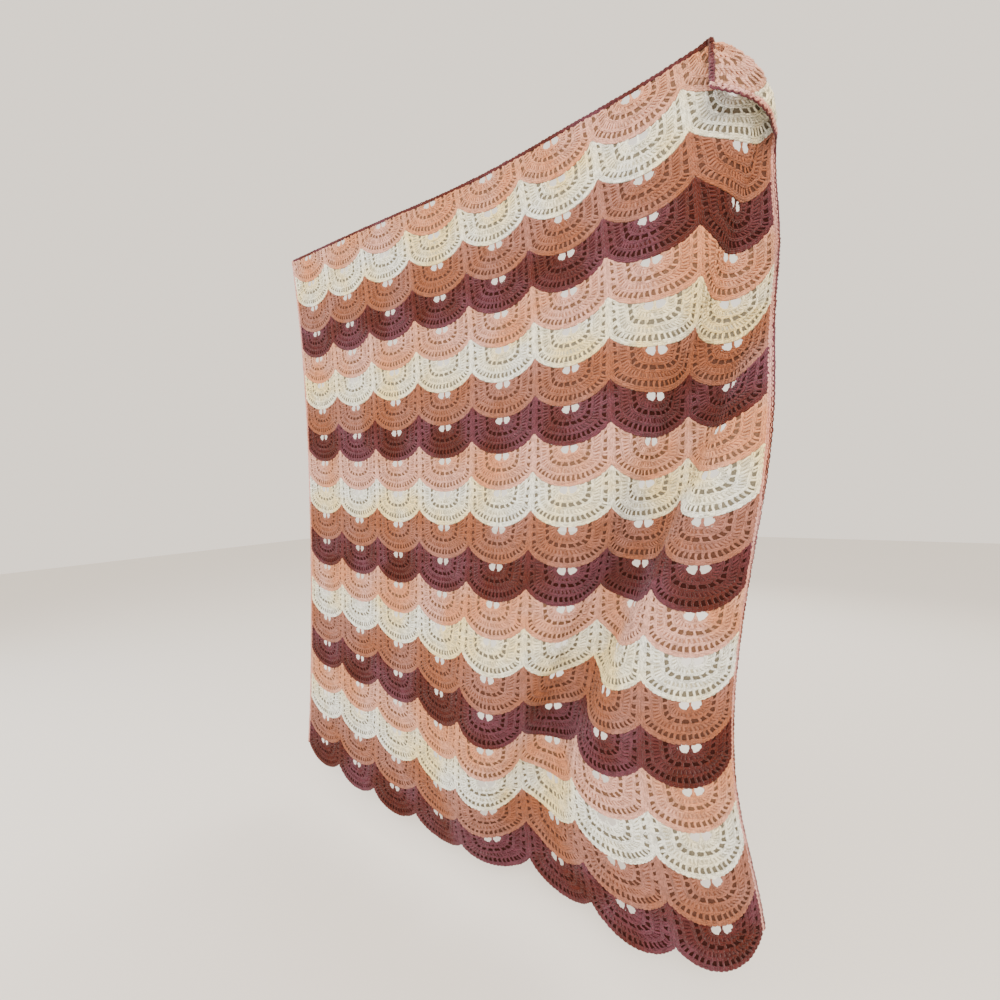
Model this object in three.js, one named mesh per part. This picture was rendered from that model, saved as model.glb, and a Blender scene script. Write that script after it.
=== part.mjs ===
// A crocheted fan-ripple throw, hung up by its two top corners.
//
// Millimetres, +Z up. The throw's width runs along X, its front faces -Y, and the origin is the middle of the
// straight line between the two points that it hangs from. Each colour stripe is one piece, worked onto the
// lower edge of the stripe above it, so its lower edge is a row of round fans with a cusp between each pair.

import * as THREE from 'three';

// Driving sizes.
const width = 1270;
const stripePitch = 74.5;
const fansAcross = 8;
const edgingWidth = 7;
const chainHeight = 5;
const thickness = 6;
const gap = 0.3;

// The first stripe is shorter than the others, because the top edge is straight.
const cuspLift = 0.35 * stripePitch;
const scallopDepth = 0.44 * stripePitch;
const scallopHalfAngle = THREE.MathUtils.degToRad(56);

// The four yarns, in the order that they repeat from the top.
const yarns = [
  { name: 'peach', color: 0xd29678, roughness: 0.95 },
  { name: 'cream', color: 0xebe1be, roughness: 0.95 },
  { name: 'tan', color: 0xaf6e55, roughness: 0.95 },
  { name: 'plum_brown', color: 0x5a2d2d, roughness: 0.95 },
];
const stripeCount = 20;
const edgingYarn = { name: 'rose', color: 0xd69a8c, roughness: 0.95 };
const foundationYarn = yarns[3];

// How the throw hangs. Each fold runs from the top edge to the bottom edge. Its centre and spread are shares of
// the width, given at the top and at the bottom, and its depth, at the top, half way and at the bottom, is
// positive where the cloth stands back.
const folds = [
  { name: 'furrow', centre: [1.07, 0.58], spread: [0.09, 0.08], depth: [170, 130, 85] },
  { name: 'middle ridge', centre: [0.67, 0.57], spread: [0.3, 0.09], depth: [65, 25, -115] },
  { name: 'right edge', centre: [1.08, 1.13], spread: [0.08, 0.17], depth: [-20, 210, 255] },
  { name: 'right ridge', centre: [0.93, 0.61], spread: [0.19, 0.17], depth: [90, -100, 70] },
];
const cornerCurl = { centre: 1, spread: 0.33, depth: -70, reach: 280 };
const slant = -0.08;
const hangLength = 1500;
const topSag = 30;
// Where the middle column hangs along X: control values of a smooth drift, from the top edge to the bottom edge.
const sway = [0, 85, 35, -10];
// Brings the two hanging points to the origin's XZ plane.
const setForward = 35;

// The top right corner is folded forward, over a soft roll, along a line between two points of the edge. The
// turn of the roll is given at the line's upper end and at its lower end.
const cornerFold = {
  alongTop: 130,
  alongSide: 165,
  radius: 10,
  turn: [THREE.MathUtils.degToRad(142), Math.PI],
};

const mix = (pair, t) => pair[0] + (pair[1] - pair[0]) * t;

function quadratic([a, b, c], t) {
  return a * (1 - t) ** 2 + 2 * b * t * (1 - t) + c * t ** 2;
}

function cubic([a, b, c, d], t) {
  return a * (1 - t) ** 3 + 3 * b * t * (1 - t) ** 2 + 3 * c * t ** 2 * (1 - t) + d * t ** 3;
}

const bell = (distance, spread) => Math.exp(-((distance / spread) ** 2));

// How far the folds stand back at a place across and down the cloth.
function foldDepth(across, down) {
  const t = down / hangLength;
  let depth = slant * (across - width / 2);
  for (const fold of folds) {
    const distance = across - mix(fold.centre, t) * width;
    depth += quadratic(fold.depth, t) * bell(distance, mix(fold.spread, t) * width);
  }
  const curl = bell(across - cornerCurl.centre * width, cornerCurl.spread * width);
  return depth + cornerCurl.depth * curl * Math.exp(-Math.max(down, 0) / cornerCurl.reach);
}

// The cloth doesn't stretch across, so the deeper its folds, the narrower it hangs: this is the length along X
// from the middle column to a place, by Simpson's rule.
function reachAcross(across, down) {
  const steps = 32;
  const span = across - width / 2;
  let sum = 0;
  for (let i = 0; i <= steps; i += 1) {
    const place = width / 2 + (span * i) / steps;
    const slope = foldDepth(place + 0.5, down) - foldDepth(place - 0.5, down);
    const weight = i === 0 || i === steps ? 1 : 2 + 2 * (i % 2);
    sum += weight * Math.sqrt(1 - Math.min(Math.abs(slope), 0.97) ** 2);
  }
  return (sum * span) / (3 * steps);
}

// The middle surface of the hanging cloth, before its corner is folded.
function hang(across, down) {
  const t = down / hangLength;
  const share = across / width;
  return new THREE.Vector3(
    reachAcross(across, down) + cubic(sway, t),
    foldDepth(across, down) - setForward,
    -down - topSag * 4 * share * (1 - share),
  );
}

function frontNormal(across, down) {
  const alongWidth = hang(across + 1, down).sub(hang(across - 1, down));
  const alongLength = hang(across, down - 1).sub(hang(across, down + 1));
  return alongWidth.cross(alongLength).normalize();
}

// A point of the cloth: its place across and down, and its height above the middle surface on the front side.
// Past the fold line the cloth rolls forward, and then goes straight on, back over its own front.
function clothPoint(across, down, height) {
  const { alongTop, alongSide, radius } = cornerFold;
  const outward = new THREE.Vector2(alongSide, -alongTop).normalize();
  const fromLineTop = across - (width - alongTop);
  const past = fromLineTop * outward.x + down * outward.y;
  let shift = 0;
  let lift = height;
  if (past > 0) {
    const share = (fromLineTop * alongTop + down * alongSide) / (alongTop ** 2 + alongSide ** 2);
    const wholeTurn = mix(cornerFold.turn, THREE.MathUtils.clamp(share, 0, 1));
    const turn = Math.min(past / radius, wholeTurn);
    const straight = past - turn * radius;
    shift = (radius - height) * Math.sin(turn) + straight * Math.cos(turn) - past;
    lift = radius - (radius - height) * Math.cos(turn) + straight * Math.sin(turn);
  }
  const place = [across + outward.x * shift, down + outward.y * shift];
  return hang(...place).addScaledVector(frontNormal(...place), lift);
}

// A closed solid of cloth over a grid of places: columns[i][j] is [across, down], with i to the right and j down.
function clothSolid(columns) {
  const rows = columns[0].length;
  const places = columns.flat();
  const back = places.length;
  const points = [thickness / 2, -thickness / 2].flatMap((height) =>
    places.map(([across, down]) => clothPoint(across, down, height)),
  );
  const at = (i, j) => i * rows + j;
  const lastColumn = columns.length - 1;
  const lastRow = rows - 1;
  const triangles = [];
  for (let i = 0; i < lastColumn; i += 1) {
    for (let j = 0; j < lastRow; j += 1) {
      const corners = [at(i, j), at(i, j + 1), at(i + 1, j + 1), at(i + 1, j)];
      const [a, b, c, d] = corners;
      triangles.push(a, b, c, a, c, d);
      triangles.push(back + a, back + c, back + b, back + a, back + d, back + c);
    }
  }
  // A rim wall from p on to q. Its diagonal leaves the front at the upper or left one of the two, so that the
  // facing walls of two neighbours are cut into matching triangles.
  const addWall = (p, q, startsUpperLeft) => {
    if (startsUpperLeft) triangles.push(p, back + p, back + q, p, back + q, q);
    else triangles.push(p, back + p, q, back + p, back + q, q);
  };
  for (let j = 0; j < lastRow; j += 1) {
    addWall(at(0, j), at(0, j + 1), true);
    addWall(at(lastColumn, j + 1), at(lastColumn, j), false);
  }
  for (let i = 0; i < lastColumn; i += 1) {
    addWall(at(i, lastRow), at(i + 1, lastRow), true);
    addWall(at(i + 1, 0), at(i, 0), false);
  }
  const geometry = new THREE.BufferGeometry().setFromPoints(points);
  geometry.setIndex(triangles);
  geometry.computeVertexNormals();
  return geometry;
}

function yarnMesh(name, yarn, geometry) {
  const material = new THREE.MeshStandardMaterial({ color: yarn.color, roughness: yarn.roughness, metalness: 0 });
  const mesh = new THREE.Mesh(geometry, material);
  mesh.name = name;
  return mesh;
}

const stripeLeft = edgingWidth + gap;
const stripeRight = width - edgingWidth - gap;
const fanWidth = (stripeRight - stripeLeft) / fansAcross;

// Evenly spaced values from first to last, both included.
function spaced(first, last, steps) {
  return Array.from({ length: steps + 1 }, (_, i) => first + ((last - first) * i) / steps);
}

// The columns are close together over the last fan, where the corner is folded.
const columnsPerFan = 4;
const columnsInFoldedFan = 22;
const foldedFanLeft = stripeRight - fanWidth;
const columnPlaces = [
  ...spaced(stripeLeft, foldedFanLeft, columnsPerFan * (fansAcross - 1)),
  ...spaced(foldedFanLeft, stripeRight, columnsInFoldedFan).slice(1),
];

// How far a fan's round lower edge hangs below its two cusps.
function scallop(across) {
  const share = ((across - stripeLeft) / fanWidth) % 1;
  const radius = 0.5 / Math.sin(scallopHalfAngle);
  const rise = Math.sqrt(radius ** 2 - (share - 0.5) ** 2) - radius * Math.cos(scallopHalfAngle);
  return (scallopDepth * rise) / (radius * (1 - Math.cos(scallopHalfAngle)));
}

// The lower edge of a stripe, counted from 1 at the top: level with its cusps, and down its round fans. Stripe 0
// is the foundation chain, which is straight.
const cuspLevel = (stripe) => (stripe === 0 ? chainHeight : stripe * stripePitch - cuspLift);
const lowerEdge = (stripe, across) => cuspLevel(stripe) + (stripe === 0 ? 0 : scallop(across));

const lastFoldedStripe = Math.ceil(cornerFold.alongSide / stripePitch);
const rowsInFoldedStripe = 5;
const rowsIn = (stripe) => (stripe <= lastFoldedStripe ? rowsInFoldedStripe : 1);

function stripeSolid(stripe) {
  return clothSolid(
    columnPlaces.map((across) => {
      const upper = lowerEdge(stripe - 1, across) + gap;
      return spaced(upper, lowerEdge(stripe, across), rowsIn(stripe)).map((down) => [across, down]);
    }),
  );
}

// Both side edgings end level with the cusps of the last stripe, and have the same rows as the stripes.
function sideEdging(left) {
  const rowPlaces = [0, chainHeight];
  for (let stripe = 1; stripe <= stripeCount; stripe += 1) {
    rowPlaces.push(...spaced(cuspLevel(stripe - 1), cuspLevel(stripe), rowsIn(stripe)).slice(1));
  }
  return clothSolid([left, left + edgingWidth].map((across) => rowPlaces.map((down) => [across, down])));
}

function foundationChain() {
  return clothSolid(columnPlaces.map((across) => [[across, 0], [across, chainHeight]]));
}

const throwBlanket = new THREE.Group();
throwBlanket.add(yarnMesh('foundation_chain', foundationYarn, foundationChain()));
for (let stripe = 1; stripe <= stripeCount; stripe += 1) {
  const yarn = yarns[(stripe - 1) % yarns.length];
  const number = String(stripe).padStart(2, '0');
  throwBlanket.add(yarnMesh(`stripe_${number}_${yarn.name}`, yarn, stripeSolid(stripe)));
}
throwBlanket.add(yarnMesh('left_edging', edgingYarn, sideEdging(0)));
throwBlanket.add(yarnMesh('right_edging', edgingYarn, sideEdging(width - edgingWidth)));

export default throwBlanket;
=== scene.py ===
"""The looks of a crocheted fan-ripple throw, hung up by its top corners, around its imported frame.

Everything is in metres. The throw is worked flat, in cloth places (across, down, height), and then
every point is carried to where it hangs by cloth_points(), which repeats the drape of the CAD model.
"""

import math

import bpy
import numpy as np
from mathutils import Matrix, Vector


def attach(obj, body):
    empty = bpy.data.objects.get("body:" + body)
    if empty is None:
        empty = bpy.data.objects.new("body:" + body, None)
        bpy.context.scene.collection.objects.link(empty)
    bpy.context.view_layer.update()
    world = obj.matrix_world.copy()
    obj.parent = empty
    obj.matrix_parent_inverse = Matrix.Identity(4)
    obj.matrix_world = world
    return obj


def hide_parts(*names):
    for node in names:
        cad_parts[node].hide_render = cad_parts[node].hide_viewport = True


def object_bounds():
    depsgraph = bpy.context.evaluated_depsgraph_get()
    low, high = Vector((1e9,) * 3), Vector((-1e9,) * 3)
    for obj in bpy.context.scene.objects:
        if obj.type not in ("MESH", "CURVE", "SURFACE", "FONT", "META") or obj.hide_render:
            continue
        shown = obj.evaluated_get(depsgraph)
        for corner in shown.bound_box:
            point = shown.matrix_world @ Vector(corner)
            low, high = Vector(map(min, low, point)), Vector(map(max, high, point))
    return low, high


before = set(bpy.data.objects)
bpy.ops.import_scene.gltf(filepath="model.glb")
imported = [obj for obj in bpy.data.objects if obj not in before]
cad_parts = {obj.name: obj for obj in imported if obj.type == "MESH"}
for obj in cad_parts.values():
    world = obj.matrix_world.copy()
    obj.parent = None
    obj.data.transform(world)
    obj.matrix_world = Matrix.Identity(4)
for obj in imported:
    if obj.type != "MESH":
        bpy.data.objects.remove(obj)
cad_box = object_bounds()

# --------------------------------------------------------------------------------------------------
# Camera, studio and light


CAMERA_PLACE = (0.6235, -0.812, -0.7068)
CAMERA_TURN_LEFT, CAMERA_TILT_DOWN, CAMERA_ROLL = 0.5748, 0.0216, -0.0275
SENSOR_WIDTH, LENS = 36, 16.3
FLOOR_SIZE, FLOOR_DROP = 16, 0.09
FLOOR_COLOR = (0.80, 0.77, 0.73, 1)
WORLD_COLOR, WORLD_STRENGTH = (1.0, 0.90, 0.78, 1), 1.5
# Each lamp: its name, place, size across, power in watts and colour. All of them face LIT_MIDDLE.
LAMPS = (
    ("key", (1.6, -2.6, 1.0), 1.6, 170, (1.0, 0.91, 0.79)),
    ("fill", (-2.6, -2.2, 0.2), 2.2, 85, (0.84, 0.92, 1.0)),
    ("back", (0.4, 2.8, 0.8), 2.2, 50, (1.0, 0.98, 0.95)),
)
LIT_MIDDLE = (0, 0, -0.75)


def make_camera():
    """A wide view from the throw's front right, nearly level with its middle."""
    ahead = (-math.sin(CAMERA_TURN_LEFT), math.cos(CAMERA_TURN_LEFT), -math.tan(CAMERA_TILT_DOWN))
    forward = Vector(ahead).normalized()
    side = forward.cross(Vector((0, 0, 1))).normalized()
    up = side.cross(forward)
    right = side * math.cos(CAMERA_ROLL) + up * math.sin(CAMERA_ROLL)
    top = up * math.cos(CAMERA_ROLL) - side * math.sin(CAMERA_ROLL)
    data = bpy.data.cameras.new("camera")
    data.sensor_width = SENSOR_WIDTH
    data.lens = LENS
    camera = bpy.data.objects.new("camera", data)
    turn = Matrix((right, top, -forward)).transposed().to_4x4()
    camera.matrix_world = Matrix.Translation(CAMERA_PLACE) @ turn
    bpy.context.collection.objects.link(camera)
    bpy.context.scene.camera = camera


def make_floor():
    """A plain pale floor a little below the hanging throw."""
    half = FLOOR_SIZE / 2
    height = cad_box[0].z - FLOOR_DROP
    mesh = bpy.data.meshes.new("floor")
    corners = ((-half, -half), (half, -half), (half, half), (-half, half))
    mesh.from_pydata([(x, y, height) for x, y in corners], [], [(0, 1, 2, 3)])
    floor = bpy.data.objects.new("floor", mesh)
    bpy.context.collection.objects.link(floor)
    material = bpy.data.materials.new("pale floor")
    material.use_nodes = True
    shader = material.node_tree.nodes["Principled BSDF"]
    shader.inputs["Base Color"].default_value = FLOOR_COLOR
    shader.inputs["Roughness"].default_value = 0.9
    mesh.materials.append(material)


def add_area_light(name, place, size, power, color):
    """A square lamp that faces the middle of the throw."""
    data = bpy.data.lights.new(name, "AREA")
    data.size = size
    data.energy = power
    data.color = color
    light = bpy.data.objects.new(name, data)
    light.location = place
    light.rotation_euler = (Vector(LIT_MIDDLE) - Vector(place)).to_track_quat("-Z", "Y").to_euler()
    bpy.context.collection.objects.link(light)


def make_lights():
    """A warm even world and three large lamps."""
    world = bpy.data.worlds.new("studio")
    world.use_nodes = True
    background = world.node_tree.nodes["Background"]
    background.inputs["Color"].default_value = WORLD_COLOR
    background.inputs["Strength"].default_value = WORLD_STRENGTH
    bpy.context.scene.world = world
    for lamp in LAMPS:
        add_area_light(*lamp)


# --------------------------------------------------------------------------------------------------
# The drape, as in the CAD model

WIDTH = 1.27
STRIPE_PITCH = 0.0745
FANS = 8
EDGING_WIDTH = 0.007
CHAIN_HEIGHT = 0.005
GAP = 0.0003
CUSP_LIFT = 0.35 * STRIPE_PITCH
SCALLOP_DEPTH = 0.44 * STRIPE_PITCH
SCALLOP_HALF_ANGLE = math.radians(56)
STRIPES = 20

HANG_LENGTH = 1.5
# Each fold: its centre and spread at the top and bottom edges, as shares of the width, and how far the
# cloth stands back at the top, half way and at the bottom.
FOLDS = (
    ((1.07, 0.58), (0.09, 0.08), (0.17, 0.13, 0.085)),
    ((0.67, 0.57), (0.30, 0.09), (0.065, 0.025, -0.115)),
    ((1.08, 1.13), (0.08, 0.17), (-0.02, 0.21, 0.255)),
    ((0.93, 0.61), (0.19, 0.17), (0.09, -0.10, 0.07)),
)
CORNER_CURL_SPREAD, CORNER_CURL_DEPTH, CORNER_CURL_REACH = 0.33, -0.07, 0.28
SLANT = -0.08
SET_FORWARD = 0.035
TOP_SAG = 0.03
SWAY = (0.0, 0.085, 0.035, -0.01)
# The fold of the top right corner; its whole turn is given at the top edge and at the side edge.
FOLD_ALONG_TOP, FOLD_ALONG_SIDE, FOLD_RADIUS = 0.13, 0.165, 0.01
FOLD_TURNS = (math.radians(142), math.pi)


def fold_depth(across, down):
    """How far the cloth stands back from its hanging plane."""
    t = down / HANG_LENGTH
    depth = SLANT * (across - WIDTH / 2)
    for centre, spread, (top, middle, bottom) in FOLDS:
        distance = across - (centre[0] + (centre[1] - centre[0]) * t) * WIDTH
        reach = (spread[0] + (spread[1] - spread[0]) * t) * WIDTH
        amount = top * (1 - t) ** 2 + 2 * middle * t * (1 - t) + bottom * t**2
        depth = depth + amount * np.exp(-((distance / reach) ** 2))
    curl = np.exp(-(((across - WIDTH) / (CORNER_CURL_SPREAD * WIDTH)) ** 2))
    return depth + CORNER_CURL_DEPTH * curl * np.exp(-np.maximum(down, 0) / CORNER_CURL_REACH)


class HangTable:
    """The hanging surface and its front normal, worked out on a grid and read between its lines."""

    STEP = 0.0025
    # How far it reaches past the sides and the top, and past the bottom.
    MARGIN, BOTTOM_MARGIN = 0.03, 0.05
    STEEPEST = 0.97

    def __init__(self):
        self.across = np.arange(-self.MARGIN, WIDTH + self.MARGIN, self.STEP)
        self.down = np.arange(-self.MARGIN, STRIPES * STRIPE_PITCH + self.BOTTOM_MARGIN, self.STEP)
        u, v = np.meshgrid(self.across, self.down, indexing="ij")
        depth = fold_depth(u, v)
        slope = np.clip(np.gradient(depth, self.STEP, axis=0), -self.STEEPEST, self.STEEPEST)
        run = np.sqrt(1 - slope**2)
        reach = np.zeros_like(depth)
        reach[1:] = np.cumsum((run[1:] + run[:-1]) / 2, axis=0) * self.STEP
        middle = np.array([np.interp(WIDTH / 2, self.across, column) for column in reach.T])
        t = v / HANG_LENGTH
        a, b, c, d = SWAY
        drift = a * (1 - t) ** 3 + 3 * b * t * (1 - t) ** 2 + 3 * c * t**2 * (1 - t) + d * t**3
        share = u / WIDTH
        drop = v + TOP_SAG * 4 * share * (1 - share)
        self.place = np.stack([reach - middle + drift, depth - SET_FORWARD, -drop], axis=-1)
        along_width = np.gradient(self.place, axis=0)
        along_length = -np.gradient(self.place, axis=1)
        normal = np.cross(along_width, along_length)
        self.normal = normal / np.linalg.norm(normal, axis=-1, keepdims=True)

    def read(self, across, down):
        i = (across - self.across[0]) / self.STEP
        j = (down - self.down[0]) / self.STEP
        i0 = np.clip(i.astype(int), 0, len(self.across) - 2)
        j0 = np.clip(j.astype(int), 0, len(self.down) - 2)
        f = (i - i0)[..., None]
        g = (j - j0)[..., None]

        def between(grid):
            upper = grid[i0, j0] * (1 - f) + grid[i0 + 1, j0] * f
            lower = grid[i0, j0 + 1] * (1 - f) + grid[i0 + 1, j0 + 1] * f
            return upper * (1 - g) + lower * g

        return between(self.place), between(self.normal)


hang_table = HangTable()


def cloth_points(places):
    """Carries (across, down, height) to where it hangs. Past its fold line the corner rolls forward."""
    across, down, height = places[..., 0], places[..., 1], places[..., 2]
    length = math.hypot(FOLD_ALONG_TOP, FOLD_ALONG_SIDE)
    out_across, out_down = FOLD_ALONG_SIDE / length, -FOLD_ALONG_TOP / length
    from_line_top = across - (WIDTH - FOLD_ALONG_TOP)
    past = np.maximum(from_line_top * out_across + down * out_down, 0)
    share = np.clip((from_line_top * FOLD_ALONG_TOP + down * FOLD_ALONG_SIDE) / length**2, 0, 1)
    whole_turn = FOLD_TURNS[0] + (FOLD_TURNS[1] - FOLD_TURNS[0]) * share
    turn = np.minimum(past / FOLD_RADIUS, whole_turn)
    straight = past - turn * FOLD_RADIUS
    inner = FOLD_RADIUS - height
    shift = inner * np.sin(turn) + straight * np.cos(turn) - past
    lift = FOLD_RADIUS - inner * np.cos(turn) + straight * np.sin(turn)
    place, normal = hang_table.read(across + out_across * shift, down + out_down * shift)
    return place + normal * lift[..., None]


# --------------------------------------------------------------------------------------------------
# The crochet pattern, flat

STRIPE_LEFT = EDGING_WIDTH + GAP
FAN_WIDTH = (WIDTH - 2 * STRIPE_LEFT) / FANS
HALF_FAN = FAN_WIDTH / 2
ARC_RADIUS = HALF_FAN / math.sin(SCALLOP_HALF_ANGLE)
ARC_LENGTH = ARC_RADIUS * SCALLOP_HALF_ANGLE
# The pair of large holes, or eyes, at the top middle of each fan.
EYES_HALF_WIDTH, EYES_HEIGHT = 0.0215, 0.0165
EYES_SQUARENESS = 0.75
# The rows of a fan start at these shares of the way down its middle: a first solid row, small holes, a
# second solid row, slots and the rim. ROW_SIDE is how far from the fan's middle each of them meets the
# stripe above.
ROW_SHARE = (0.0, 0.19, 0.40, 0.63, 0.87, 1.0)
ROW_SIDE = (EYES_HALF_WIDTH, 0.034, 0.046, 0.064, 0.074, HALF_FAN)
# The rows of holes and of slots, counted from 0.
OPEN_ROWS = (1, 3)
# Posts per fan in the first solid row, between the small holes and in the second solid row.
FIRST_POSTS, HOLE_POSTS, SECOND_POSTS = 16, 11, 32
# The posts between the slots, and the pairs of posts between the holes beside the line between two fans.
SLOTS = 16
LEG_HOLE_PITCH = 0.0186
HALF_PAIR = 0.0027
SHEET_HALF_THICKNESS = 0.0004


def scallop(x):
    """How far a fan's lower edge hangs below its cusps, at x from the fan's middle."""
    radius = 0.5 / math.sin(SCALLOP_HALF_ANGLE)
    chord_height = radius * math.cos(SCALLOP_HALF_ANGLE)
    rise = np.sqrt(np.maximum(radius**2 - (x / FAN_WIDTH) ** 2, 0)) - chord_height
    return SCALLOP_DEPTH * rise / (radius - chord_height)


def lower_edge(stripe, x):
    """How far down a stripe's lower edge lies, at x from a fan's middle. Stripe 0 is the straight chain
    at the top."""
    if stripe == 0:
        return CHAIN_HEIGHT + 0 * x
    return stripe * STRIPE_PITCH - CUSP_LIFT + scallop(x)


def leg_length(stripe):
    """How long the line between two fans is within one stripe."""
    cusp = np.full(1, HALF_FAN)
    return float(lower_edge(stripe, cusp)[0] - lower_edge(stripe - 1, cusp)[0])


def fan_places(stripe, row, along):
    """A fan's own coordinates to cloth places, as a patch between four curves: the rim of the eyes, the
    outer edge, the fan's middle line and the lower edge of the stripe above. row runs from 0 at the eyes
    to 1 at the lower edge. along runs round each row, from -1 at its left end to 1 at its right end."""
    t = np.abs(along)
    top = float(lower_edge(stripe - 1, np.zeros(1))[0]) + GAP
    bottom = float(lower_edge(stripe, np.zeros(1))[0])
    leg = leg_length(stripe)

    def outer(s):
        """The outer edge: along the scallop to its cusp, and then up the line between two fans."""
        way = s * (ARC_LENGTH + leg)
        x = ARC_RADIUS * np.sin(np.minimum(way, ARC_LENGTH) / ARC_RADIUS)
        return x, lower_edge(stripe, x) - np.maximum(way - ARC_LENGTH, 0)

    def inner(s):
        x = EYES_HALF_WIDTH * np.sin(s * math.pi / 2) ** EYES_SQUARENESS
        corner_lift = top - GAP - lower_edge(stripe - 1, np.full(1, EYES_HALF_WIDTH))[0]
        deep = np.maximum(np.cos(s * math.pi / 2), 0) ** EYES_SQUARENESS
        return x, top + EYES_HEIGHT * deep - corner_lift * s**2

    def side(r):
        x = np.interp(r, ROW_SHARE, ROW_SIDE)
        return x, lower_edge(stripe - 1, x) + GAP

    def middle(r):
        return 0 * r, top + EYES_HEIGHT + (bottom - top - EYES_HEIGHT) * r

    zero, one = np.zeros(1), np.ones(1)
    parts = []
    for k in (0, 1):
        corners = (
            (1 - row) * (1 - t) * inner(zero)[k]
            + (1 - row) * t * inner(one)[k]
            + row * (1 - t) * outer(zero)[k]
            + row * t * outer(one)[k]
        )
        across_rows = (1 - row) * inner(t)[k] + row * outer(t)[k]
        along_rows = (1 - t) * middle(row)[k] + t * side(row)[k]
        parts.append(across_rows + along_rows - corners)
    return np.stack([parts[0] * np.sign(along), parts[1]], axis=-1)


# --------------------------------------------------------------------------------------------------
# Yarn

# A strand's cross section is a polygon of this many sides, shaded smooth.
YARN_SIDES = 4
# How unevenly the yarn is spun and worked: its thickness as a share, its place in the cloth in metres
# and the twist of its posts in radians.
UNEVEN_RADIUS = 0.07
UNEVEN_PLACE, UNEVEN_HEIGHT = 0.00025, 0.0002
UNEVEN_TWIST = 0.25


def tubes(paths, radii):
    """Closed yarn tubes along paths, an array of (tubes, points, 3) in cloth places. Returns vertices,
    quads, end caps and the yarn coordinates (round, along in metres) of each corner of the quads."""
    count, steps, _ = paths.shape
    tangent = np.gradient(paths, axis=1)
    tangent /= np.linalg.norm(tangent, axis=-1, keepdims=True)
    upward = np.array([0.0, 0.0, 1.0])
    side = np.cross(tangent, upward)
    side /= np.maximum(np.linalg.norm(side, axis=-1, keepdims=True), 1e-9)
    lift = np.cross(side, tangent)
    angle = np.arange(YARN_SIDES) * 2 * math.pi / YARN_SIDES
    ring = side[:, :, None] * np.cos(angle)[:, None] + lift[:, :, None] * np.sin(angle)[:, None]
    vertices = paths[:, :, None] + ring * np.asarray(radii).reshape(count, -1, 1, 1)
    first = np.arange(count) * steps * YARN_SIDES
    ring_start = first[:, None, None] + (np.arange(steps - 1) * YARN_SIDES)[None, :, None]
    next_ring = ring_start + YARN_SIDES
    k = np.arange(YARN_SIDES)[None, None]
    k1 = (k + 1) % YARN_SIDES
    quads = np.stack([ring_start + k, ring_start + k1, next_ring + k1, next_ring + k], axis=-1)
    start_cap = first[:, None] + np.arange(YARN_SIDES)[::-1]
    end_cap = first[:, None] + (steps - 1) * YARN_SIDES + np.arange(YARN_SIDES)
    caps = np.stack([start_cap, end_cap], axis=1).reshape(-1, YARN_SIDES)
    lengths = np.linalg.norm(np.diff(paths, axis=1), axis=-1)
    way = np.concatenate([np.zeros((count, 1)), np.cumsum(lengths, axis=1)], axis=1)
    s0 = np.broadcast_to(way[:, :-1, None], quads.shape[:3])
    s1 = np.broadcast_to(way[:, 1:, None], quads.shape[:3])
    r0 = np.broadcast_to(k / YARN_SIDES, quads.shape[:3])
    r1 = r0 + 1 / YARN_SIDES
    corners = [np.stack(corner, axis=-1) for corner in ((r0, s0), (r1, s0), (r1, s1), (r0, s1))]
    quad_yarn = np.stack(corners, axis=-2)
    return vertices.reshape(-1, 3), quads.reshape(-1, 4), caps, quad_yarn.reshape(-1, 2)


# Each strand has one of these tones: the whole part of its yarn coordinate across.
STRAND_TONES = 8


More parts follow.
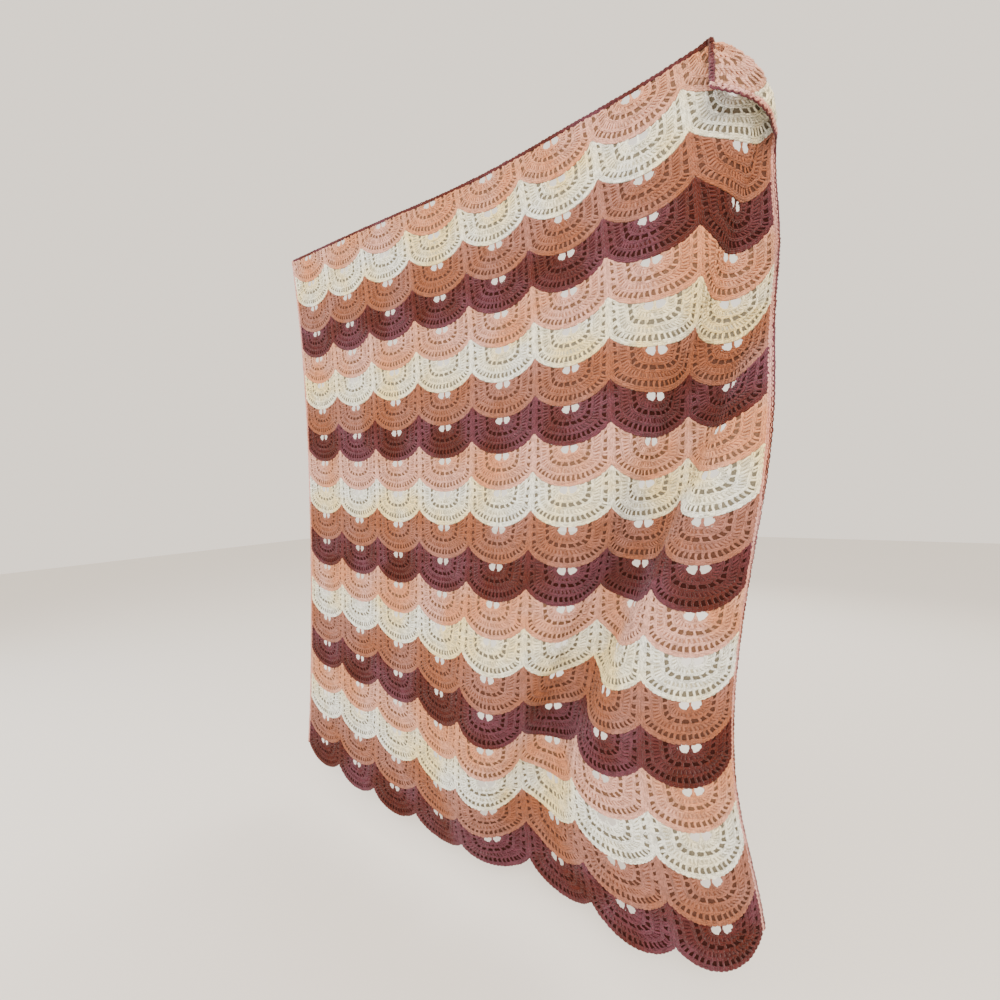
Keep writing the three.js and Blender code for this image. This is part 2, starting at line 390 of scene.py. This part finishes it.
class Stitches:
    """Collects yarn tubes of one piece, flat, and makes them into one mesh."""

    def __init__(self, seed):
        self.random = np.random.default_rng(seed)
        self.vertices, self.quads, self.caps, self.yarn = [], [], [], []
        self.count = 0

    def add(self, paths, radius):
        paths = np.asarray(paths, float)
        spread = 1 + UNEVEN_RADIUS * self.random.standard_normal((len(paths), 1))
        radii = radius * spread * np.ones((1, paths.shape[1]))
        vertices, quads, caps, yarn = tubes(paths, radii)
        self.vertices.append(vertices)
        self.quads.append(quads + self.count)
        self.caps.append(caps + self.count)
        strand_tone = self.random.integers(0, STRAND_TONES, (len(paths), 1))
        yarn = yarn.reshape(len(paths), -1, 2)
        yarn[..., 0] += strand_tone
        self.yarn.append(yarn.reshape(-1, 2))
        self.count += len(vertices)

    def strands(self, lines, offsets, lifts, radius):
        """Tubes that follow flat lines (tubes, points, 2), set off sideways and up by these amounts."""
        tangent = np.gradient(lines, axis=1)
        tangent /= np.maximum(np.linalg.norm(tangent, axis=-1, keepdims=True), 1e-9)
        normal = np.stack([-tangent[..., 1], tangent[..., 0]], axis=-1)
        jitter = UNEVEN_PLACE * self.random.standard_normal((len(lines), 1, 2))
        flat = lines + normal * offsets[..., None] + jitter
        wander = UNEVEN_HEIGHT * self.random.standard_normal((len(lines), 1))
        self.add(np.concatenate([flat, (lifts + wander)[..., None]], axis=-1), radius)

    def to_object(self, name, material):
        vertices = cloth_points(np.concatenate(self.vertices))
        quads, caps = np.concatenate(self.quads), np.concatenate(self.caps)
        mesh = bpy.data.meshes.new(name)
        mesh.vertices.add(len(vertices))
        mesh.vertices.foreach_set("co", vertices.astype(np.float32).ravel())
        loops = np.concatenate([quads.ravel(), caps.ravel()])
        mesh.loops.add(len(loops))
        mesh.loops.foreach_set("vertex_index", loops.astype(np.int32))
        sizes = np.concatenate([np.full(len(quads), 4), np.full(len(caps), caps.shape[1])])
        mesh.polygons.add(len(sizes))
        starts = np.concatenate([[0], np.cumsum(sizes)[:-1]])
        mesh.polygons.foreach_set("loop_start", starts.astype(np.int32))
        mesh.polygons.foreach_set("loop_total", sizes.astype(np.int32))
        mesh.update(calc_edges=True)
        mesh.shade_smooth()
        yarn = np.concatenate([np.concatenate(self.yarn), np.zeros((caps.size, 2))])
        layer = mesh.uv_layers.new(name="yarn")
        layer.data.foreach_set("uv", yarn.astype(np.float32).ravel())
        mesh.materials.append(material)
        piece = bpy.data.objects.new(name, mesh)
        bpy.context.collection.objects.link(piece)
        return piece


# Posts in solid rows and in open rows: half the thickness of a strand, and how far the two strands of a
# post stand from its middle.
SOLID_POST = (0.0018, 0.0017)
OPEN_POST = (0.0018, 0.0014)
POST_STEPS = 4
# Where the twist of a post starts and ends, in half turns.
TWIST_START, TWIST_STOP = -0.15, 1.15
CHAIN_RADIUS = 0.0015
CHAIN_PITCH = 0.0078
# How far the strands of a chain stitch open to each side, and rise above the cloth's middle.
CHAIN_WIDTH, CHAIN_RISE = 0.0014, 0.0019
RIM_RADIUS = 0.0017
MEASURE_POINTS = 200


def add_post_lines(stitches, lines, post):
    """Posts along flat lines (posts, steps, 2), each of two strands that cross half way."""
    radius, spread = post
    first_turn = stitches.random.normal(0, UNEVEN_TWIST, (len(lines), 1))
    turn = first_turn + np.linspace(TWIST_START, TWIST_STOP, lines.shape[1]) * math.pi
    for phase in (0, math.pi):
        stitches.strands(lines, spread * np.cos(turn + phase), spread * np.sin(turn + phase), radius)


def add_posts(stitches, line, along, start, stop, post):
    """Posts at the places along a row. line(row, along) gives flat places; start and stop say where the
    posts begin and end, as shares of the way down the fan."""
    shape = (len(along), POST_STEPS)
    row = np.broadcast_to(np.linspace(start, stop, POST_STEPS), shape)
    add_post_lines(stitches, line(row, np.broadcast_to(along[:, None], shape)), post)


def add_chain(stitches, line, row, radius=CHAIN_RADIUS):
    """A row of chain stitches, each a pair of strands that open and close like a V over the next one."""
    measured = line(np.full(MEASURE_POINTS, row), np.linspace(-1, 1, MEASURE_POINTS))
    length = np.linalg.norm(np.diff(measured, axis=0), axis=-1).sum()
    count = max(round(length / CHAIN_PITCH), 2)
    steps = np.array([0.0, 0.4, 0.8, 1.25])
    opening = CHAIN_WIDTH * np.array([0.3, 1.0, 1.0, 0.2])
    rise = CHAIN_RISE * np.array([-0.3, 0.7, 1.0, 0.4])
    along = np.clip((np.arange(count)[:, None] + steps) * 2 / count - 1, -1, 1)
    lines = line(np.full(along.shape, row), along)
    for side in (-1, 1):
        stitches.strands(lines, side * opening + 0 * along, rise + 0 * along, radius)


def evenly(count, end=1.0):
    """The middles of count equal shares from -end to end."""
    return ((np.arange(count) + 0.5) / count * 2 - 1) * end


def slot_posts(stripe):
    """Where the posts between the slots are along a row: one by one round the fan, and in pairs up its
    two legs."""
    way = ARC_LENGTH + leg_length(stripe)
    arc_end = ARC_LENGTH / way
    pairs = round(leg_length(stripe) / LEG_HOLE_PITCH)
    middles = np.linspace(arc_end, 1, pairs + 1)
    beside = HALF_PAIR / way
    leg = np.concatenate([middles + beside, middles[1:] - beside])
    leg = leg[leg < 1]
    return np.concatenate([evenly(SLOTS, arc_end), leg, -leg])


# Posts at the right of a pair of eyes, as where they start and end in shares of the eyes' half width and
# height: a branch of the post between the eyes, and two short loops of the rim above.
EYE_BRANCHES = ((0.0, 0.5, 0.24, 1.05), (0.93, -0.1, 0.9, 0.36), (0.78, -0.1, 0.78, 0.16))
EYE_POST = (0.0014, 0.001)


def add_eyes(stitches, line, stripe):
    """The slim post between the two eyes, its branches and the loops in their outer corners."""
    middle = line(np.zeros(1), np.zeros(1))[0, 0]
    both_sides = [(side * a, b, side * c, d) for side in (-1, 1) for a, b, c, d in EYE_BRANCHES]
    posts = np.array([(0.0, -0.1, 0.0, 1.05)] + both_sides)
    share = np.linspace(0, 1, POST_STEPS)[:, None, None]
    across, down = np.moveaxis(posts[:, :2] + (posts[:, 2:] - posts[:, :2]) * share, -1, 0)
    x = across.T * EYES_HALF_WIDTH
    top = lower_edge(stripe - 1, x[:, :1])
    add_post_lines(stitches, np.stack([middle + x, top + down.T * EYES_HEIGHT], axis=-1), EYE_POST)


def fan_line(stripe, fan):
    """line(row, along) of one fan: its own coordinates to flat cloth places."""
    middle = STRIPE_LEFT + FAN_WIDTH * (fan + 0.5)

    def line(row, along):
        return fan_places(stripe, row, along) + np.array([middle, 0])

    return line


# Small shares of the way down a fan: how far posts and chains keep from the edge of a row, and how far
# the outermost chain keeps from the lower edge.
TUCK = 0.01
RIM_INSET = 0.045
# The posts between the small holes stop this share of the way along, short of the stripe above.
HOLE_POSTS_END = 0.97


def add_fan(stitches, stripe, fan):
    """All the stitches of one fan, row by row from the eyes down to the rim."""
    line = fan_line(stripe, fan)
    eyes, first, holes, second, slots, rim = ROW_SHARE
    add_eyes(stitches, line, stripe)
    add_chain(stitches, line, eyes)
    add_posts(stitches, line, evenly(FIRST_POSTS), eyes + 2 * TUCK, first, SOLID_POST)
    add_chain(stitches, line, first)
    add_posts(stitches, line, evenly(HOLE_POSTS, HOLE_POSTS_END), first, holes, OPEN_POST)
    add_chain(stitches, line, holes)
    add_posts(stitches, line, evenly(SECOND_POSTS), holes + TUCK, second, SOLID_POST)
    add_chain(stitches, line, second)
    add_posts(stitches, line, slot_posts(stripe), second, rim - TUCK, OPEN_POST)
    add_chain(stitches, line, slots + 2 * TUCK)
    add_chain(stitches, line, rim - RIM_INSET, RIM_RADIUS)


# The inner layer's faces: along each row of a fan, and across each row.
GROUND_STEPS_ALONG, GROUND_STEPS_PER_ROW = 36, 2
# Points of neighbouring fans are joined where they agree to this many steps in a metre.
JOIN_STEPS_PER_METRE = 1e5


def make_ground(name, stripe, materials):
    """The thin inner layer of a stripe, behind all its stitches but not its eyes: the strands inside
    the solid rows, darkened with painted shade, and a dark sheet of painted shade that closes the holes.
    Returns the piece and its flat area."""
    row_count = len(ROW_SHARE) - 1
    steps = row_count * GROUND_STEPS_PER_ROW
    rows = np.interp(np.arange(steps + 1) / GROUND_STEPS_PER_ROW, np.arange(row_count + 1), ROW_SHARE)
    along = np.linspace(-1, 1, GROUND_STEPS_ALONG + 1)
    r, a = np.meshgrid(rows, along, indexing="ij")
    flat = np.concatenate([fan_line(stripe, fan)(r, a).reshape(-1, 2) for fan in range(FANS)])
    i, j = np.meshgrid(np.arange(steps), np.arange(GROUND_STEPS_ALONG), indexing="ij")
    corner = (i * len(along) + j).ravel()
    below = corner + len(along)
    quads = np.stack([corner, corner + 1, below + 1, below], axis=-1)
    quads = np.concatenate([quads + fan * r.size for fan in range(FANS)])
    row_of_quad = np.tile(i.ravel() // GROUND_STEPS_PER_ROW, FANS)
    rounded = np.round(flat * JOIN_STEPS_PER_METRE).astype(int)
    merged, index = np.unique(rounded, axis=0, return_inverse=True)
    joined = np.zeros((len(merged), 2))
    joined[index.ravel()] = flat
    quads = index.ravel()[quads]
    is_open = np.isin(row_of_quad, OPEN_ROWS)
    diagonals = joined[quads[:, 2:]] - joined[quads[:, :2]]
    area = np.abs(np.cross(diagonals[:, 0], diagonals[:, 1])).sum() / 2
    return closed_sheet(name, joined, quads, is_open, materials), float(area)


def closed_sheet(name, flat, quads, is_open, materials):
    """A closed thin sheet over flat quads: a front layer, a back layer and walls along the open edges.
    The first material is for solid rows and the second one, a plain painted shade, is for rows of holes."""
    count = len(flat)
    height = np.full((count, 1), SHEET_HALF_THICKNESS)
    layers = [np.hstack([flat, height]), np.hstack([flat, -height])]
    vertices = cloth_points(np.concatenate(layers))
    edges = np.concatenate([quads[:, [k, (k + 1) % 4]] for k in range(4)])
    key = edges.min(axis=1) * count + edges.max(axis=1)
    _, first, uses = np.unique(key, return_index=True, return_counts=True)
    rim = edges[first[uses == 1]]
    walls = np.stack([rim[:, 1], rim[:, 0], rim[:, 0] + count, rim[:, 1] + count], axis=-1)
    faces = np.concatenate([quads, quads[:, ::-1] + count, walls])
    mesh = bpy.data.meshes.new(name)
    mesh.from_pydata(vertices.tolist(), [], faces.tolist())
    material_index = np.concatenate([is_open, is_open, np.zeros(len(walls))])
    mesh.polygons.foreach_set("material_index", material_index.astype(int))
    mesh.update()
    for material in materials:
        mesh.materials.append(material)
    piece = bpy.data.objects.new(name, mesh)
    bpy.context.collection.objects.link(piece)
    return piece


# --------------------------------------------------------------------------------------------------
# Materials

# Noise scales, per metre, of the yarn's fibres, of its patches of tone and of the inner layer's fibres.
FIBRE_SCALE, PATCH_SCALE, CROSSING_FIBRE_SCALE = 900, 7, 500
# How far the grooves between plies go toward the yarn's painted shade, and how far the darkest strands
# go toward it as their own random tone.
PLY_SHADE, STRAND_SHADE = 0.25, 0.55
# The height of the plies beside that of the fibres, and the depth of each relief in metres.
PLY_RELIEF = 0.5
YARN_RELIEF_DEPTH, CROSSING_RELIEF_DEPTH = 0.0004, 0.0005


def add_node(nodes, kind, **settings):
    """A shader node with some of its settings changed."""
    node = nodes.new(kind)
    for name, value in settings.items():
        setattr(node, name, value)
    return node


def add_math(material, operation, first, second=None, third=None):
    """A Math node; each input is a number or another node's output."""
    node = add_node(material.node_tree.nodes, "ShaderNodeMath", operation=operation)
    for socket, value in zip(node.inputs, (first, second, third)):
        if value is None:
            continue
        if isinstance(value, (int, float)):
            socket.default_value = value
        else:
            material.node_tree.links.new(value, socket)
    return node.outputs[0]


def add_noise(material, scale, detail):
    """Noise fixed to the cloth where it hangs."""
    nodes, links = material.node_tree.nodes, material.node_tree.links
    coordinates = nodes.new("ShaderNodeTexCoord")
    noise = nodes.new("ShaderNodeTexNoise")
    noise.inputs["Scale"].default_value = scale
    noise.inputs["Detail"].default_value = detail
    links.new(coordinates.outputs["Object"], noise.inputs["Vector"])
    return noise.outputs["Fac"]


def add_ramp(material, factor, stops):
    """A colour ramp through (position, colour) stops."""
    ramp = material.node_tree.nodes.new("ShaderNodeValToRGB")
    elements = ramp.color_ramp.elements
    while len(elements) < len(stops):
        elements.new(0.5)
    for element, (position, color) in zip(elements, stops):
        element.position = position
        element.color = (*color, 1)
    material.node_tree.links.new(factor, ramp.inputs["Fac"])
    return ramp.outputs["Color"]


def shade_toward(material, amount, color, shade):
    """Mixes a colour toward a plain colour of painted shade. amount and color are other nodes' outputs.
    """
    mix = add_node(material.node_tree.nodes, "ShaderNodeMix", data_type="RGBA")
    sockets = {socket.name: socket for socket in mix.inputs if socket.enabled}
    material.node_tree.links.new(amount, sockets["Factor"])
    material.node_tree.links.new(color, sockets["A"])
    sockets["B"].default_value = (*shade, 1)
    return next(socket for socket in mix.outputs if socket.enabled)


def finish_material(material, color, relief, distance):
    """Plugs a colour into the material's shader, and a relief of this depth in metres as bumps."""
    nodes, links = material.node_tree.nodes, material.node_tree.links
    shader = nodes["Principled BSDF"]
    links.new(color, shader.inputs["Base Color"])
    bump = nodes.new("ShaderNodeBump")
    bump.inputs["Strength"].default_value = 0.6
    bump.inputs["Distance"].default_value = distance
    links.new(relief, bump.inputs["Height"])
    links.new(bump.outputs["Normal"], shader.inputs["Normal"])


def yarn_material(name, main, cool, warm, shade):
    """Matte plied yarn: plies twisted round each strand, with painted shade in the grooves between them,
    fibres, a tone of its own for each strand, and slow changes between a cooler and a warmer tone over
    the cloth."""
    material = bpy.data.materials.new(name)
    material.use_nodes = True
    shader = material.node_tree.nodes["Principled BSDF"]
    shader.inputs["Roughness"].default_value = 0.9
    shader.inputs["Sheen Weight"].default_value = 0.12
    shader.inputs["Sheen Roughness"].default_value = 0.5
    shader.inputs["Specular IOR Level"].default_value = 0.1
    yarn = add_node(material.node_tree.nodes, "ShaderNodeUVMap", uv_map="yarn")
    split = material.node_tree.nodes.new("ShaderNodeSeparateXYZ")
    material.node_tree.links.new(yarn.outputs["UV"], split.inputs[0])
    round_strand, along_strand = split.outputs["X"], split.outputs["Y"]

    plies, turns_per_metre = 3.0, 260.0
    round_plies = add_math(material, "MULTIPLY", round_strand, plies)
    turn = add_math(material, "MULTIPLY_ADD", along_strand, turns_per_metre, round_plies)
    ply = add_math(material, "SINE", add_math(material, "MULTIPLY", turn, 2 * math.pi))
    fibres = add_noise(material, FIBRE_SCALE, 3)
    patches = add_noise(material, PATCH_SCALE, 4)

    color = add_ramp(material, patches, ((0.4, cool), (0.5, main), (0.6, warm)))
    strand_number = add_math(material, "FLOOR", round_strand)
    strand_tone = add_math(material, "DIVIDE", strand_number, float(STRAND_TONES))
    strand_shade = add_math(material, "MULTIPLY", strand_tone, STRAND_SHADE)
    # Painted shade: the grooves between the plies are mixed toward the yarn's shade colour. The strand
    # tones added to it are each strand's own random tone.
    amount = add_math(material, "MULTIPLY_ADD", ply, -PLY_SHADE, strand_shade)
    color = shade_toward(material, amount, color, shade)
    relief = add_math(material, "MULTIPLY_ADD", ply, PLY_RELIEF, fibres)
    finish_material(material, color, relief, YARN_RELIEF_DEPTH)
    return material


def ground_material(name, color):
    """The inside of the cloth between the stitches, in painted shade: a given dark colour, with short
    crossing fibres in its tone and relief.
    """
    material = bpy.data.materials.new(name)
    material.use_nodes = True
    shader = material.node_tree.nodes["Principled BSDF"]
    shader.inputs["Roughness"].default_value = 1.0
    shader.inputs["Specular IOR Level"].default_value = 0.1
    fibres = add_noise(material, CROSSING_FIBRE_SCALE, 3)
    darker = tuple(0.7 * c for c in color)
    lighter = tuple(min(1.25 * c, 1.0) for c in color)
    tone = add_ramp(material, fibres, ((0.3, darker), (0.7, lighter)))
    finish_material(material, tone, fibres, CROSSING_RELIEF_DEPTH)
    return material


def linear(*screen_color):
    """Screen colour, 0 to 255, to the linear colour that shaders take."""
    shares = [value / 255 for value in screen_color]
    return tuple(c / 12.92 if c <= 0.04045 else ((c + 0.055) / 1.055) ** 2.4 for c in shares)


# Each yarn: its main colour, a cooler and a warmer tone of it, and its painted shade: in the grooves
# between its plies, on the inner layer between its posts and on the sheet that closes its small holes.
YARNS = {
    "peach": (linear(214, 156, 128), linear(220, 168, 152), linear(212, 142, 102), linear(104, 76, 60)),
    "cream": (linear(244, 238, 210), linear(240, 242, 234), linear(248, 228, 168), linear(104, 98, 84)),
    "tan": (linear(158, 101, 78), linear(164, 112, 98), linear(154, 93, 64), linear(78, 50, 40)),
    "plum_brown": (linear(94, 46, 48), linear(104, 58, 70), linear(86, 36, 28), linear(46, 18, 15)),
    "edging": (linear(216, 158, 146), linear(218, 168, 162), linear(212, 148, 126), linear(130, 82, 70)),
}
YARN_ORDER = ("peach", "cream", "tan", "plum_brown")


# --------------------------------------------------------------------------------------------------
# The pieces

SIDE_LENGTH = STRIPES * STRIPE_PITCH - CUSP_LIFT
# The short posts under a cord's chains, as shares of its width.
CORD_POST_START, CORD_POST_STOP = 0.15, 0.85
# The first seed of the cords; the stripes take their own number as their seed.
CORD_SEED = 500
# How much of the yarn's main colour is in the inner layer of the solid rows; the rest is its painted
# shade, darkening the gaps between the posts.
INNER_TONE = 0.4


def side_line(left):
    """line(row, along) of a cord down the side: row runs to the right and along runs down."""

    def line(row, along):
        share = (along + 1) / 2
        return np.stack([left + row * EDGING_WIDTH, share * SIDE_LENGTH + 0 * row], axis=-1)

    return line


def top_line(row, along):
    """line(row, along) of the foundation chain: row runs down and along runs to the right."""
    share = (along + 1) / 2
    across = EDGING_WIDTH + share * (WIDTH - 2 * EDGING_WIDTH) + 0 * row
    return np.stack([across, row * CHAIN_HEIGHT], axis=-1)


def make_cord(name, line, rows, seed, material, posts):
    """A crocheted cord: lines of chain stitches side by side, over short posts if it has any."""
    stitches = Stitches(seed)
    if posts:
        add_posts(stitches, line, evenly(posts), CORD_POST_START, CORD_POST_STOP, OPEN_POST)
    for row in rows:
        add_chain(stitches, line, row)
    return stitches.to_object(name, material)


def own(piece, node):
    """Hangs a piece on the one body, and hides the CAD node that it stands for."""
    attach(piece, "root")
    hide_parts(node)


def make_cords(yarns):
    """The foundation chain and both edgings; the right one has one more chain in the darkest yarn."""
    right_line = side_line(WIDTH - EDGING_WIDTH)
    cords = [
        ("foundation_chain", "cord", top_line, (0.3, 0.8), "plum_brown", 200),
        ("left_edging", "cord", side_line(0), (0.25, 0.8), "edging", 230),
        ("right_edging", "cord", right_line, (0.2, 0.65), "edging", 230),
        ("right_edging", "outer_chain", right_line, (0.92,), "plum_brown", 0),
    ]
    pieces = []
    for seed, (node, kind, line, rows, yarn, posts) in enumerate(cords, CORD_SEED):
        piece = make_cord(f"{node}_{kind}", line, rows, seed, yarns[yarn], posts)
        own(piece, node)
        pieces.append(piece)
    return pieces


def make_stripe(stripe, yarns, grounds):
    """A stripe's stitches and the inner layer behind them."""
    yarn = YARN_ORDER[(stripe - 1) % len(YARN_ORDER)]
    node = f"stripe_{stripe:02d}_{yarn}"
    stitches = Stitches(stripe)
    for fan in range(FANS):
        add_fan(stitches, stripe, fan)
    yarn_piece = stitches.to_object(f"{node}_stitches", yarns[yarn])
    own(yarn_piece, node)
    ground, area = make_ground(f"{node}_ground", stripe, grounds[yarn])
    own(ground, node)


def make_throw():
    """All the pieces. The cords are made first."""
    yarns = {name: yarn_material(f"{name} yarn", *tones) for name, tones in YARNS.items()}
    grounds = {}
    for name, (main, _, _, shade) in YARNS.items():
        # Painted shade: the inner layer of the solid rows is the main colour darkened toward the shade
        # colour, and the sheet behind the holes is the plain shade colour.
        inner = tuple(INNER_TONE * a + (1 - INNER_TONE) * b for a, b in zip(main, shade))
        behind_solid = ground_material(f"{name} inner strands in painted shade", inner)
        behind_holes = ground_material(f"{name} shade", shade)
        grounds[name] = (behind_solid, behind_holes)
    cords = make_cords(yarns)
    for stripe in range(1, STRIPES + 1):
        make_stripe(stripe, yarns, grounds)


make_camera()
make_floor()
make_lights()
make_throw()
